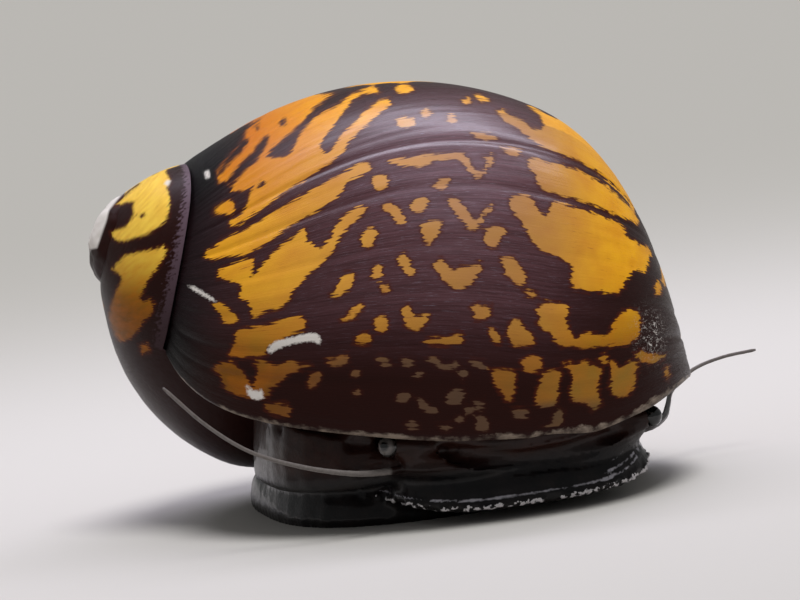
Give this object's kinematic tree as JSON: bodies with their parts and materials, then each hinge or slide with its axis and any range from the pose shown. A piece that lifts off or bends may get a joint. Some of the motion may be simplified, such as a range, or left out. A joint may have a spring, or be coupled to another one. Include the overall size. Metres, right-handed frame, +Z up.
{
  "type": "nerite snail",
  "caption": "Life-size nerite snail crawling: domed spiral shell with a blunt spire, broad foot, wide snout, two feelers, eyes on short stalks and an operculum.",
  "frame": {"origin": "centre of the model's outer box, on the floor under the flat sole of the foot", "axes": "+Z up; the head looks towards -Y, turned 12 degrees to +X; the spire of the shell points to -X"},
  "size_m": [0.0274, 0.024, 0.0172],
  "materials": {
    "shell": "glossy shell, dark brown with amber patches and fine growth lines",
    "operculum": "horny plate with fine spiral growth lines",
    "flesh": "wet black-brown skin with pale specks on the folds",
    "mantle": "wet dark brown mantle edge",
    "feeler": "wet grey skin, slightly see-through",
    "eye": "glossy black eye"
  },
  "bodies": {
    "root": {"shell_body_whorl": "shell", "shell_spire": "shell", "mantle": "mantle", "neck": "flesh", "foot": "flesh", "operculum": "operculum", "head": "flesh", "snout": "flesh", "eye_stalk_right": "flesh", "eye_right": "eye", "tentacle_right_base": "feeler", "tentacle_right_mid": "feeler", "tentacle_right_tip": "feeler", "eye_stalk_left": "flesh", "eye_left": "eye", "tentacle_left_base": "feeler", "tentacle_left_mid": "feeler", "tentacle_left_tip": "feeler"}
  },
  "joints": []
}
